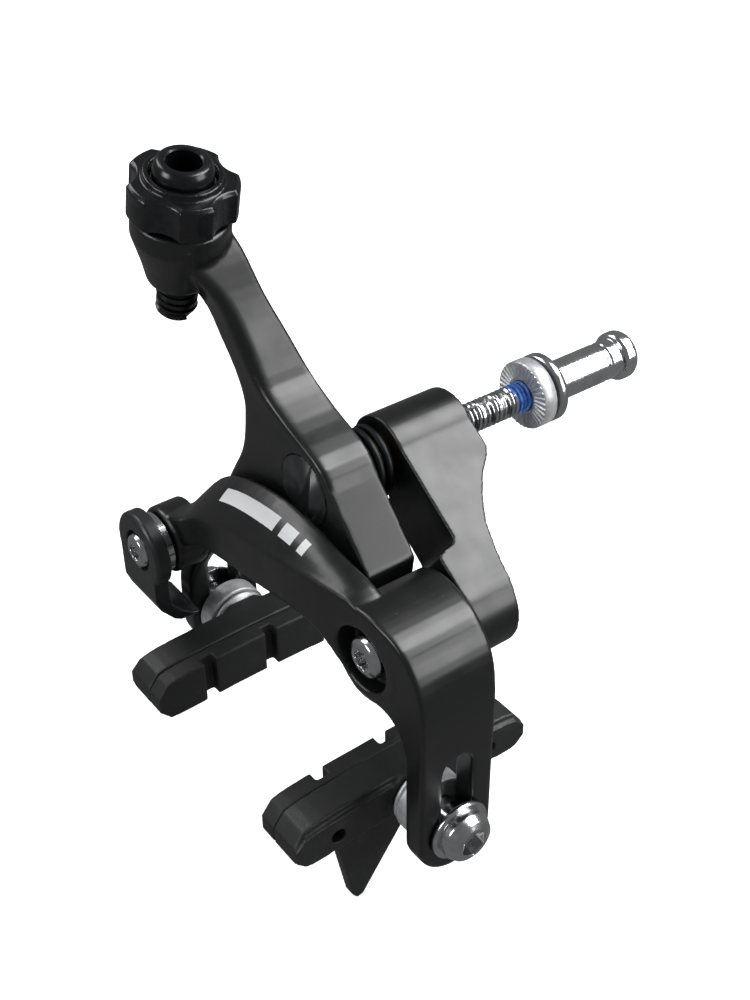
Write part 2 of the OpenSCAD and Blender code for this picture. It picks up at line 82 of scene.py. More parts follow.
def add(
    tree: bpy.types.NodeTree,
    kind: str,
    settings: dict[str, object] | None = None,
    inputs: dict[str | int, object] | None = None,
) -> bpy.types.Node:
    """Adds one node with its settings and inputs.

    Args:
        tree: the node tree that takes it.
        kind: the node's type name.
        settings: attributes set on the node.
        inputs: socket name or number to a value, or to the output socket linked to it.

    Returns:
        The new node.
    """
    node = tree.nodes.new(kind)
    for key, value in (settings or {}).items():
        setattr(node, key, value)
    for key, value in (inputs or {}).items():
        if isinstance(value, bpy.types.NodeSocket):
            tree.links.new(value, node.inputs[key])
        else:
            node.inputs[key].default_value = value
    return node


def merged_mesh(node: str) -> bpy.types.Mesh:
    """Copies a CAD node's mesh with its doubled vertices merged.

    Args:
        node: the CAD node's name.

    Returns:
        A new mesh with no material.
    """
    bm = bmesh.new()
    bm.from_mesh(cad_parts[node].data)
    bmesh.ops.remove_doubles(bm, verts=bm.verts, dist=2e-6)
    mesh = bpy.data.meshes.new(node + "_shape")
    bm.to_mesh(mesh)
    bm.free()
    mesh.materials.clear()
    return mesh


def evaluated(mesh: bpy.types.Mesh, modifiers: list[tuple[str, dict[str, object]]]) -> bpy.types.Mesh:
    """Runs modifiers over a mesh and returns the result as a plain mesh.

    Args:
        mesh: the mesh to start from.
        modifiers: (modifier type, attributes) in order.

    Returns:
        The evaluated mesh.
    """
    host = bpy.data.objects.new(mesh.name + "_host", mesh)
    bpy.context.scene.collection.objects.link(host)
    for kind, attributes in modifiers:
        modifier = host.modifiers.new(kind.lower(), kind)
        for key, value in attributes.items():
            setattr(modifier, key, value)
    graph = bpy.context.evaluated_depsgraph_get()
    out = bpy.data.meshes.new_from_object(host.evaluated_get(graph), depsgraph=graph)
    bpy.data.objects.remove(host)
    return out


def soften(mesh: bpy.types.Mesh, voxel_mm: float, rounds: int) -> bpy.types.Mesh:
    """Turns a sharp solid into a forged or moulded one with rounded edges.

    Args:
        mesh: a closed mesh.
        voxel_mm: size of the grid it is rebuilt on.
        rounds: smoothing rounds, each wears the edges a little more.

    Returns:
        The softened mesh.
    """
    return evaluated(
        mesh,
        [
            ("REMESH", {"mode": "VOXEL", "voxel_size": voxel_mm * MM, "use_smooth_shade": True}),
            ("SMOOTH", {"factor": 0.5, "iterations": rounds}),
        ],
    )


def shade(mesh: bpy.types.Mesh, crease_degrees: float) -> None:
    """Shades a mesh smooth and keeps its sharp edges crisp.

    Args:
        mesh: the mesh, changed in place.
        crease_degrees: edges sharper than this stay crisp; 180 leaves none.
    """
    mesh.polygons.foreach_set("use_smooth", [True] * len(mesh.polygons))
    if crease_degrees < 180:
        mesh.set_sharp_from_angle(angle=math.radians(crease_degrees))
    mesh.update()


def joined(meshes: list[bpy.types.Mesh], name: str) -> bpy.types.Mesh:
    """Joins meshes into one, keeping their smooth flags.

    Args:
        meshes: the meshes, all in the row's frame.
        name: the new mesh's name.

    Returns:
        One mesh with no material.
    """
    bm = bmesh.new()
    for mesh in meshes:
        bm.from_mesh(mesh)
    for face in bm.faces:
        face.material_index = 0
    out = bpy.data.meshes.new(name)
    bm.to_mesh(out)
    bm.free()
    out.materials.clear()
    return out


def along_y() -> Matrix:
    """The turn that lays a shape's Z axis along +Y.

    Returns:
        A rotation matrix.
    """
    return Matrix.Rotation(math.radians(-90), 4, "X")


def turned(profile: list[tuple[float, float]], place: Matrix, name: str, steps: int = 96) -> bpy.types.Mesh:
    """A solid of revolution from a half section.

    Args:
        profile: (radius, height) pairs in millimetres, from the axis at one end to the axis at the other.
        place: where its own Z axis lies in the row's frame.
        name: the mesh's name.
        steps: sides of the solid.

    Returns:
        A closed mesh with outward faces.
    """
    bm = bmesh.new()
    rings: list[list[bmesh.types.BMVert]] = []
    for radius, height in profile:
        count = 1 if radius < 1e-6 else steps
        ring = []
        for k in range(count):
            angle = 2 * math.pi * k / steps
            point = Vector((radius * math.cos(angle), radius * math.sin(angle), height)) * MM
            ring.append(bm.verts.new(place @ point))
        rings.append(ring)
    for low, high in zip(rings, rings[1:]):
        for k in range(steps):
            under = [low[k % len(low)], low[(k + 1) % len(low)]]
            over = [high[(k + 1) % len(high)], high[k % len(high)]]
            corners = list(dict.fromkeys(under + over))
            if len(corners) > 2:
                bm.faces.new(corners)
    bmesh.ops.recalc_face_normals(bm, faces=bm.faces)
    mesh = bpy.data.meshes.new(name)
    bm.to_mesh(mesh)
    bm.free()
    return mesh


# ---- geometry trees for what repeats


def new_tree(name: str, sizes: dict[str, tuple[str, object]]) -> tuple[bpy.types.NodeTree, bpy.types.Node]:
    """Starts a geometry tree with named inputs.

    Args:
        name: the tree's name.
        sizes: input name to (socket type, default).

    Returns:
        The tree and its group input node.
    """
    tree = bpy.data.node_groups.new(name, "GeometryNodeTree")
    for key, (kind, default) in sizes.items():
        socket = tree.interface.new_socket(key, in_out="INPUT", socket_type=kind)
        if default is not None:
            socket.default_value = default
    tree.interface.new_socket("Geometry", in_out="OUTPUT", socket_type="NodeSocketGeometry")
    return tree, add(tree, "NodeGroupInput")


def close_tree(tree: bpy.types.NodeTree, shape: bpy.types.NodeSocket, finish: bpy.types.NodeSocket) -> None:
    """Ends a geometry tree: real geometry, its material, and the output.

    Args:
        tree: the geometry tree.
        shape: the socket that gives the geometry.
        finish: the socket that gives the material.
    """
    real = add(tree, "GeometryNodeRealizeInstances", None, {"Geometry": shape})
    dressed = add(tree, "GeometryNodeSetMaterial", None, {"Geometry": real.outputs[0], "Material": finish})
    add(tree, "NodeGroupOutput", None, {0: dressed.outputs[0]})


def thread_tree() -> bpy.types.NodeTree:
    """A screw thread: one ridge wound round the Z axis at a given pitch.

    Returns:
        The tree, with inputs Radius, Depth, Pitch, Length and Finish.
    """
    tree, given = new_tree(
        "wound_thread",
        {
            "Radius": ("NodeSocketFloat", 0.003),
            "Depth": ("NodeSocketFloat", 0.0005),
            "Pitch": ("NodeSocketFloat", 0.001),
            "Length": ("NodeSocketFloat", 0.018),
            "Finish": ("NodeSocketMaterial", None),
        },
    )
    out = given.outputs
    turns = add(tree, "ShaderNodeMath", {"operation": "DIVIDE"}, {0: out["Length"], 1: out["Pitch"]})
    middle = add(tree, "ShaderNodeMath", {"operation": "SUBTRACT"}, {0: out["Radius"], 1: out["Depth"]})
    winding = add(
        tree,
        "GeometryNodeCurveSpiral",
        None,
        {
            "Resolution": 40,
            "Rotations": turns.outputs[0],
            "Start Radius": middle.outputs[0],
            "End Radius": middle.outputs[0],
            "Height": out["Length"],
        },
    )
    ridge = add(
        tree,
        "GeometryNodeCurvePrimitiveCircle",
        {"mode": "RADIUS"},
        {"Resolution": 4, "Radius": out["Depth"]},
    )
    swept = add(
        tree,
        "GeometryNodeCurveToMesh",
        None,
        {"Curve": winding.outputs[0], "Profile Curve": ridge.outputs[0], "Fill Caps": True},
    )
    close_tree(tree, swept.outputs[0], out["Finish"])
    return tree


def teeth_tree() -> bpy.types.NodeTree:
    """A ring of radial teeth on a washer's face, round the Z axis.

    Returns:
        The tree, with inputs Count, Radius, Reach, Width and Finish.
    """
    tree, given = new_tree(
        "radial_teeth",
        {
            "Count": ("NodeSocketInt", 36),
            "Radius": ("NodeSocketFloat", 0.0052),
            "Reach": ("NodeSocketFloat", 0.0026),
            "Width": ("NodeSocketFloat", 0.0005),
            "Finish": ("NodeSocketMaterial", None),
        },
    )
    out = given.outputs
    circle = add(tree, "GeometryNodeMeshCircle", None, {"Vertices": out["Count"], "Radius": out["Radius"]})
    size = add(tree, "ShaderNodeCombineXYZ", None, {"X": out["Reach"], "Y": out["Width"], "Z": out["Width"]})
    block = add(tree, "GeometryNodeMeshCube", None, {"Size": size.outputs[0], "Vertices X": 4})
    tooth = add(
        tree,
        "GeometryNodeTransform",
        None,
        {"Geometry": block.outputs[0], "Rotation": (math.radians(45), 0.0, 0.0)},
    )
    index = add(tree, "GeometryNodeInputIndex")
    step = add(tree, "ShaderNodeMath", {"operation": "DIVIDE"}, {0: 2 * math.pi, 1: out["Count"]})
    angle = add(tree, "ShaderNodeMath", {"operation": "MULTIPLY"}, {0: index.outputs[0], 1: step.outputs[0]})
    spin = add(tree, "ShaderNodeCombineXYZ", None, {"Z": angle.outputs[0]})
    placed = add(
        tree,
        "GeometryNodeInstanceOnPoints",
        None,
        {"Points": circle.outputs[0], "Instance": tooth.outputs[0], "Rotation": spin.outputs[0]},
    )
    close_tree(tree, placed.outputs[0], out["Finish"])
    return tree


def grown(tree: bpy.types.NodeTree, values: dict[str, object], place: Matrix, name: str) -> bpy.types.Mesh:
    """Runs a geometry tree once and keeps the result as a plain mesh.

    Args:
        tree: the geometry tree.
        values: input name to value.
        place: where the result's Z axis lies in the row's frame.
        name: the mesh's name.

    Returns:
        The mesh, in the row's frame.
    """
    host = bpy.data.objects.new(name + "_host", bpy.data.meshes.new(name + "_seed"))
    bpy.context.scene.collection.objects.link(host)
    modifier = host.modifiers.new("grow", "NODES")
    modifier.node_group = tree
    for item in tree.interface.items_tree:
        if item.item_type == "SOCKET" and item.in_out == "INPUT" and item.name in values:
            modifier[item.identifier] = values[item.name]
    graph = bpy.context.evaluated_depsgraph_get()
    mesh = bpy.data.meshes.new_from_object(host.evaluated_get(graph), depsgraph=graph)
    host.modifiers.remove(modifier)
    bpy.data.objects.remove(host)
    mesh.transform(place)
    mesh.name = name
    return mesh


# ---- finishes


def new_material(name: str) -> tuple[bpy.types.Material, bpy.types.NodeTree]:
    """Makes a node material with an empty tree.

    Args:
        name: the real material and how its surface was made.

    Returns:
        The material and its tree.
    """
    material = bpy.data.materials.new(name)
    material.use_nodes = True
    material.node_tree.nodes.clear()
    return material, material.node_tree


def grain(tree: bpy.types.NodeTree, size_mm: float, detail: float = 3.0) -> bpy.types.Node:
    """Adds noise on the piece's own coordinates.

    Args:
        tree: the material's tree.
        size_mm: the width of one cell.
        detail: how many finer layers lie on top.

    Returns:
        The noise node; its first output is the value.
    """
    place = add(tree, "ShaderNodeTexCoord")
    return add(
        tree,
        "ShaderNodeTexNoise",
        None,
        {"Vector": place.outputs["Object"], "Scale": per_metre(size_mm), "Detail": detail, "Roughness": 0.55},
    )


def ramp(
    tree: bpy.types.NodeTree,
    source: bpy.types.NodeSocket,
    span: tuple[float, float, float, float],
) -> bpy.types.NodeSocket:
    """Maps source from span's first pair to its second pair, clamped.

    Args:
        tree: the material's tree.
        source: the value to map.
        span: (from low, from high, to low, to high).

    Returns:
        The mapped value's socket.
    """
    node = add(
        tree,
        "ShaderNodeMapRange",
        {"clamp": True},
        {"Value": source, "From Min": span[0], "From Max": span[1], "To Min": span[2], "To Max": span[3]},
    )
    return node.outputs["Result"]


def mixed(
    tree: bpy.types.NodeTree,
    factor: bpy.types.NodeSocket,
    low: bpy.types.NodeSocket | tuple[float, ...],
    high: bpy.types.NodeSocket | tuple[float, ...],
) -> bpy.types.NodeSocket:
    """Blends two colours.

    Args:
        tree: the material's tree.
        factor: 0 gives low, 1 gives high.
        low: a colour, or the socket that gives it.
        high: a colour, or the socket that gives it.

    Returns:
        The blended colour's socket.
    """
    node = add(tree, "ShaderNodeMix", {"data_type": "RGBA"}, {0: factor, 6: low, 7: high})
    return node.outputs[2]


def finish_off(
    material: bpy.types.Material,
    inputs: dict[str, object],
    height: bpy.types.NodeSocket | None,
    relief_mm: float,
    strength: float,
) -> bpy.types.Material:
    """Closes a material with its shader, a bump and the output.

    Args:
        material: the material.
        inputs: the shader's inputs.
        height: the bump's height, or None.
        relief_mm: how deep the bump is.
        strength: the bump's strength.

    Returns:
        The same material.
    """
    tree = material.node_tree
    if height is not None:
        bump = add(
            tree,
            "ShaderNodeBump",
            None,
            {"Height": height, "Distance": relief_mm * MM, "Strength": strength},
        )
        inputs = {**inputs, "Normal": bump.outputs[0]}
    shader = add(tree, "ShaderNodeBsdfPrincipled", None, inputs)
    add(tree, "ShaderNodeOutputMaterial", None, {"Surface": shader.outputs[0]})
    return material


@dataclass(frozen=True)
class PaintedForging:
    """Satin black powder paint on forged aluminium.

    The eye gets soft wide highlights, a faint orange peel, paler worn edges and a few dust specks.
    A plain row of pale bars can be printed on the crown; their places are in metres.
    """

    name: str = "satin_black_powder_paint"
    colour: str = "0a0b0c"
    worn: str = "1d2022"
    dust: str = "4c5052"
    roughness: float = 0.33
    stripe: str = ""
    bars: tuple[tuple[float, float], ...] = ((-0.0190, -0.0010), (0.0008, 0.0046), (0.0064, 0.0082))
    bar_y: float = -0.0378
    bar_half_height: float = 0.0011
    bar_above_z: float = -0.0142

    def build(self) -> bpy.types.Material:
        """Builds the material.

        Returns:
            The material.
        """
        material, tree = new_material(self.name)
        patches = grain(tree, 7.0)
        peel = grain(tree, 0.7, 2.0)
        shape = add(tree, "ShaderNodeNewGeometry")
        edge = ramp(tree, shape.outputs["Pointiness"], (0.53, 0.62, 0.0, 0.75))
        base = mixed(tree, edge, linear(self.colour), linear(self.worn))
        place = add(tree, "ShaderNodeTexCoord")
        cells = add(
            tree,
            "ShaderNodeTexVoronoi",
            None,
            {"Vector": place.outputs["Object"], "Scale": per_metre(1.7), "Randomness": 1.0},
        )
        speck = ramp(tree, cells.outputs["Distance"], (0.05, 0.085, 1.0, 0.0))
        rare = ramp(tree, grain(tree, 4.0).outputs[0], (0.56, 0.62, 0.0, 0.8))
        both = add(tree, "ShaderNodeMath", {"operation": "MULTIPLY"}, {0: speck, 1: rare})
        base = mixed(tree, both.outputs[0], base, linear(self.dust))
        rough = ramp(tree, patches.outputs[0], (0.3, 0.7, self.roughness - 0.05, self.roughness + 0.07))
        if self.stripe:
            print_here = self.stripe_mask(tree)
            base = mixed(tree, print_here, base, linear(self.stripe))
        inputs = {
            "Base Color": base,
            "Roughness": rough,
            "Metallic": 0.0,
            "IOR": 1.5,
            "Coat Weight": 0.12,
            "Coat Roughness": 0.15,
        }
        return finish_off(material, inputs, peel.outputs[0], 0.015, 0.12)

    def stripe_mask(self, tree: bpy.types.NodeTree) -> bpy.types.NodeSocket:
        """Finds where the crown's printed bars lie: one long bar and two short ones.

        Args:
            tree: the material's tree.

        Returns:
            A socket that is 1 on the print and 0 elsewhere.
        """
        place = add(tree, "ShaderNodeTexCoord")
        axes = add(tree, "ShaderNodeSeparateXYZ", None, {"Vector": place.outputs["Object"]})
        spans = []
        for low, high in self.bars:
            middle, half = (low + high) / 2, (high - low) / 2
            spans.append(
                add(
                    tree,
                    "ShaderNodeMath",
                    {"operation": "COMPARE"},
                    {0: axes.outputs["X"], 1: middle, 2: half},
                ).outputs[0]
            )
        first = add(tree, "ShaderNodeMath", {"operation": "ADD"}, {0: spans[0], 1: spans[1]})
        every = add(
            tree,
            "ShaderNodeMath",
            {"operation": "ADD", "use_clamp": True},
            {0: first.outputs[0], 1: spans[2]},
        )
        across = add(
            tree,
            "ShaderNodeMath",
            {"operation": "COMPARE"},
            {0: axes.outputs["Y"], 1: self.bar_y, 2: self.bar_half_height},
        )
        upper = add(
            tree,
            "ShaderNodeMath",
            {"operation": "GREATER_THAN"},
            {0: axes.outputs["Z"], 1: self.bar_above_z},
        )
        band = add(
            tree,
            "ShaderNodeMath",
            {"operation": "MULTIPLY"},
            {0: across.outputs[0], 1: upper.outputs[0]},
        )
        mask = add(
            tree,
            "ShaderNodeMath",
            {"operation": "MULTIPLY"},
            {0: every.outputs[0], 1: band.outputs[0]},
        )
        return mask.outputs[0]


@dataclass(frozen=True)
class PolishedSteel:
    """Polished stainless or chromed steel with fine handling scratches.

    The eye gets hard bright reflections with a slight haze along the scratches. The same finish with
    other colours and a rougher surface serves for sintered bronze and for the spring wire, whose
    near-black colour is painted shade.
    """

    name: str = "polished_steel"
    colour: str = "d2d3d5"
    dull: str = "a9abae"
    roughness: float = 0.13
    scratch_mm: float = 0.5

    def build(self) -> bpy.types.Material:
        """Builds the material.

        Returns:
            The material.
        """
        material, tree = new_material(self.name)
        cloud = grain(tree, 3.0)
        place = add(tree, "ShaderNodeTexCoord")
        stretched = add(
            tree,
            "ShaderNodeMapping",
            None,
            {"Vector": place.outputs["Object"], "Scale": (1.0, 6.0, 1.0)},
        )
        # real scratches are finer than the render shows, so they are drawn half a millimetre apart
        scratches = add(
            tree,
            "ShaderNodeTexNoise",
            None,
            {"Vector": stretched.outputs[0], "Scale": per_metre(self.scratch_mm), "Detail": 4.0},
        )
        film = ramp(tree, cloud.outputs[0], (0.4, 0.7, 0.0, 0.6))
        base = mixed(tree, film, linear(self.colour), linear(self.dull))
        rough = ramp(tree, scratches.outputs[0], (0.35, 0.7, self.roughness, self.roughness + 0.14))
        inputs = {"Base Color": base, "Metallic": 1.0, "Roughness": rough}
        return finish_off(material, inputs, scratches.outputs[0], 0.01, 0.08)


@dataclass(frozen=True)
class ZincPlate:
    """Dull zinc plate over pressed steel.

    The eye gets a pale mottled grey with a coarse grain and no clear reflection.
    """

    name: str = "dull_zinc_plate"
    pale: str = "c9cbcd"
    dark: str = "a0a3a6"
    roughness: float = 0.46

    def build(self) -> bpy.types.Material:
        """Builds the material.

        Returns:
            The material.
        """
        material, tree = new_material(self.name)
        mottle = grain(tree, 1.4, 5.0)
        grit = grain(tree, 0.28, 3.0)
        patches = ramp(tree, mottle.outputs[0], (0.3, 0.75, 0.0, 1.0))
        base = mixed(tree, patches, linear(self.pale), linear(self.dark))
        rough = ramp(tree, grit.outputs[0], (0.3, 0.7, self.roughness - 0.1, self.roughness + 0.12))
        inputs = {"Base Color": base, "Metallic": 0.75, "Roughness": rough}
        return finish_off(material, inputs, grit.outputs[0], 0.05, 0.4)


@dataclass(frozen=True)
class MouldedBlack:
    """Black moulded rubber or nylon.

    The eye gets a matt black with a fine mould grain and a few paler scuffs.
    """

    name: str
    colour: str
    scuff: str
    roughness: float
    grain_mm: float = 0.35

    def build(self) -> bpy.types.Material:
        """Builds the material.

        Returns:
            The material.
        """
        material, tree = new_material(self.name)
        skin = grain(tree, self.grain_mm, 4.0)
        cloud = grain(tree, 5.0, 4.0)
        scuffs = ramp(tree, cloud.outputs[0], (0.55, 0.78, 0.0, 0.5))
        shape = add(tree, "ShaderNodeNewGeometry")
        edge = ramp(tree, shape.outputs["Pointiness"], (0.52, 0.6, 0.0, 0.45))
        wear = add(tree, "ShaderNodeMath", {"operation": "MAXIMUM"}, {0: scuffs, 1: edge})
        base = mixed(tree, wear.outputs[0], linear(self.colour), linear(self.scuff))
        rough = ramp(tree, skin.outputs[0], (0.3, 0.7, self.roughness - 0.08, self.roughness + 0.1))
        inputs = {"Base Color": base, "Roughness": rough, "Metallic": 0.0, "IOR": 1.5}
        return finish_off(material, inputs, skin.outputs[0], 0.03, 0.3)


@dataclass(frozen=True)
class AnodisedBlack:
    """Black anodised turned aluminium.

    The eye gets a semi-gloss black with crisp small highlights and faint wear.
    """

    name: str = "black_anodised_aluminium"
    colour: str = "0d0e10"
    worn: str = "1e2023"
    roughness: float = 0.21

    def build(self) -> bpy.types.Material:
        """Builds the material.

        Returns:
            The material.
        """
        material, tree = new_material(self.name)
        marks = grain(tree, 0.45, 3.0)
        cloud = grain(tree, 2.5)
        wear = ramp(tree, cloud.outputs[0], (0.45, 0.8, 0.0, 0.5))
        base = mixed(tree, wear, linear(self.colour), linear(self.worn))
        rough = ramp(tree, marks.outputs[0], (0.3, 0.7, self.roughness - 0.02, self.roughness + 0.04))
        inputs = {"Base Color": base, "Roughness": rough, "Metallic": 0.2}
        return finish_off(material, inputs, marks.outputs[0], 0.006, 0.06)


@dataclass(frozen=True)
class ThreadLocker:
    """Dried blue thread-locking compound.

    The eye gets a chalky blue film with darker hollows.
    """

    name: str = "dried_thread_locker"
    pale: str = "3f74c4"
    deep: str = "153f86"

    def build(self) -> bpy.types.Material:
        """Builds the material.

        Returns:
            The material.
        """
        material, tree = new_material(self.name)
        blotch = grain(tree, 0.9, 4.0)
        film = ramp(tree, blotch.outputs[0], (0.35, 0.65, 0.0, 1.0))
        base = mixed(tree, film, linear(self.deep), linear(self.pale))
        inputs = {"Base Color": base, "Roughness": 0.55, "Metallic": 0.0}
        return finish_off(material, inputs, blotch.outputs[0], 0.05, 0.3)


@dataclass
class Finishes:
    """The materials of the whole caliper, built once."""

    arms: bpy.types.Material = field(default_factory=lambda: PaintedForging().build())
    crown: bpy.types.Material = field(
        default_factory=lambda: PaintedForging("satin_black_powder_paint_striped", stripe="c9cbcd").build()
    )
    lever: bpy.types.Material = field(
        default_factory=lambda: PaintedForging(
            "matt_black_powder_paint", colour="111315", roughness=0.42
        ).build()
    )
    anodised: bpy.types.Material = field(default_factory=lambda: AnodisedBlack().build())
    steel: bpy.types.Material = field(default_factory=lambda: PolishedSteel().build())
    chrome: bpy.types.Material = field(
        default_factory=lambda: PolishedSteel("chromed_steel", "dfe0e2", "bfc1c4", 0.07, 0.9).build()
    )
    # painted shade: the spring wire is coloured near-black so the coil reads as the shaded slot between the
    # arm and the bridge
    wire: bpy.types.Material = field(
        default_factory=lambda: PolishedSteel("spring_wire_dark_as_painted_shade", "2e3032", "1c1d1f", 0.4, 0.3).build()
    )
    bronze: bpy.types.Material = field(
        default_factory=lambda: PolishedSteel("sintered_bronze", "6f5a38", "4d3e27", 0.45, 0.3).build()
    )
    zinc: bpy.types.Material = field(default_factory=lambda: ZincPlate().build())
    holder: bpy.types.Material = field(
        default_factory=lambda: MouldedBlack("moulded_black_nylon", "121314", "26282a", 0.5).build()
    )
    rubber: bpy.types.Material = field(
        default_factory=lambda: MouldedBlack("moulded_brake_rubber", "0f1011", "232425", 0.6, 0.3).build()
    )
    locker: bpy.types.Material = field(default_factory=lambda: ThreadLocker().build())


class Slot(Enum):
    """The record's material slots."""

    ARM = "arm_black"
    LEVER = "lever_black"
    ADJUSTER = "adjuster_black"
    STEEL = "bright_steel"
    CHROME = "nut_chrome"
    ZINC = "zinc_grey"
    SPRING = "spring_steel"
    BRONZE = "bronze"
    SEAT = "seat_plastic"
    HOLDER = "shoe_holder"
    RUBBER = "pad_rubber"


def piece(
    name: str,
    mesh: bpy.types.Mesh,
    body: str,
    finish: list[bpy.types.Material],
    stands_for: tuple[str, ...] = (),
) -> bpy.types.Object:
    """Makes a finished piece that rides on a body.

    Args:
        name: the piece's name.
        mesh: its mesh, in the row's frame.
        body: the body it moves with.
        finish: its materials, in slot order.
        stands_for: the CAD nodes it replaces.

    Returns:
        The new object.
    """
    if len(mesh.materials) > 0:
        mesh.materials.clear()
    for material in finish:
        mesh.materials.append(material)
    mesh.name = name
    made = bpy.data.objects.new(name, mesh)
    bpy.context.scene.collection.objects.link(made)
    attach(made, body)
    if stands_for:
        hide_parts(*stands_for)
    log.info("%s: %d faces on %s", name, len(mesh.polygons), body)
    return made


def forged(
    node: str,
    body: str,
    finish: bpy.types.Material,
    voxel_mm: float,
    rounds: int,
) -> bpy.types.Object:
    """A forged or moulded piece: the CAD solid with its edges worn round.

    Args:
        node: the CAD node.
        body: the body it moves with.
        finish: its material.
        voxel_mm: grid size.
        rounds: smoothing rounds.

    Returns:
        The new object.
    """
    mesh = soften(merged_mesh(node), voxel_mm, rounds)
    shade(mesh, 180)
    return piece(node + "_form", mesh, body, [finish], (node,))


def machined(
    node: str,
    body: str,
    finish: bpy.types.Material,
    crease: float = 32.0,
) -> bpy.types.Object:
    """A machined piece: the CAD solid, shaded round with crisp edges.

    Args:
        node: the CAD node.
        body: the body it moves with.
        finish: its material.
        crease: the angle in degrees above which an edge stays crisp.

    Returns:
        The new object.
    """
    mesh = merged_mesh(node)
    shade(mesh, crease)
    return piece(node + "_form", mesh, body, [finish], (node,))


# ---- sub-assemblies


@dataclass
class Bridge:
    """The fixed group: the bridge, both pivot bolts and what hangs on the centre bolt.

    Sizes are in millimetres.
    """

    finishes: Finishes
    body: str = "bridge"
    bolt_r: float = 3.0
    thread_from: float = 0.5
    thread_to: float = 34.6
    pitch: float = 1.0
    depth: float = 0.3
    locker_from: float = 14.6
    locker_to: float = 18.4
    ridge_sunk: float = 0.12
    front: float = -31.7
    back: float = 35.8
    front_chamfer: float = 0.5
    teeth: int = 36
    tooth_w: float = 0.52
    tooth_ring_r: float = 5.15
    tooth_reach: float = 2.9
    tooth_y: float = 18.12

    def build(self, threads: bpy.types.NodeTree, teeth: bpy.types.NodeTree) -> None:
        """Builds every piece of the group.

        Args:
            threads: the tree that winds a thread.
            teeth: the tree that cuts radial teeth.
        """
        f = self.finishes
        forged("rear_bridge", self.body, f.arms, 0.3, 5)
        self.centre_bolt(threads)
        self.serrated_washer(teeth)
        for node in ("centre_nut", "side_pivot_washer", "plain_washer"):
            machined(node, self.body, f.steel)
        machined("centre_spacer", self.body, f.bronze)
        forged("side_pivot_bolt", self.body, f.steel, 0.15, 2)
        forged("sleeve_nut", self.body, f.chrome, 0.15, 3)

    def centre_bolt(self, threads: bpy.types.NodeTree) -> None:
        """Builds the long bolt with its thread, and thread locker near the washer.

        Args:
            threads: the tree that winds a thread.
        """
        root = self.bolt_r - 2 * self.depth + self.ridge_sunk
        profile = [
            (0.0, self.front),
            (self.bolt_r - self.front_chamfer, self.front),
            (self.bolt_r, self.front + self.front_chamfer),
            (self.bolt_r, self.thread_from - 0.5),
            (root, self.thread_from),
            (root, self.locker_from),
            (root, self.locker_to),
            (root, self.thread_to),
            (root - 0.3, self.back),
            (0.0, self.back),
        ]
        core = turned(profile, along_y(), "bolt_core")
        ridge = grown(
            threads,
            {
                "Radius": self.bolt_r * MM,
                "Depth": self.depth * MM,
                "Pitch": self.pitch * MM,
                "Length": (self.thread_to - self.thread_from) * MM,
                "Finish": self.finishes.steel,
            },
            Matrix.Translation((0, self.thread_from * MM, 0)) @ along_y(),
            "bolt_thread",
        )
        mesh = joined([core, ridge], "centre_bolt_form")
        for face in mesh.polygons:
            if self.locker_from * MM < face.center.y < self.locker_to * MM:
                face.material_index = 1
        shade(mesh, 38)
        piece(
            "centre_bolt_form",
            mesh,
            self.body,
            [self.finishes.steel, self.finishes.locker],
            ("centre_bolt",),
        )

    def serrated_washer(self, teeth: bpy.types.NodeTree) -> None:
        """Builds the zinc-plated washer with radial teeth on its front face.

        Args:
            teeth: the tree that cuts radial teeth.
        """
        ring = merged_mesh("serrated_washer")
        cut = grown(
            teeth,
            {
                "Count": self.teeth,
                "Radius": self.tooth_ring_r * MM,
                "Reach": self.tooth_reach * MM,
                "Width": self.tooth_w * MM,
                "Finish": self.finishes.zinc,
            },
            Matrix.Translation((0, self.tooth_y * MM, 0)) @ along_y(),
            "washer_teeth",
        )
        mesh = joined([ring, cut], "serrated_washer_form")
        shade(mesh, 30)
        piece("serrated_washer_form", mesh, self.body, [self.finishes.zinc], ("serrated_washer",))


@dataclass
class CentreArm:
    """The arm on the centre bolt, with its bush, spring and spring seat."""

    finishes: Finishes
    body: str = "y_arm"

    def build(self) -> None:
        """Builds every piece of the group."""
        f = self.finishes
        forged("y_arm", self.body, f.arms, 0.32, 5)
        machined("centre_bush", self.body, f.bronze)
        # the spring's near-black wire colour is painted shade for the slot it sits in
        machined("return_spring", self.body, f.wire, 60)
        forged("spring_seat", self.body, f.holder, 0.2, 4)
        machined("pivot_cap", self.body, f.arms)


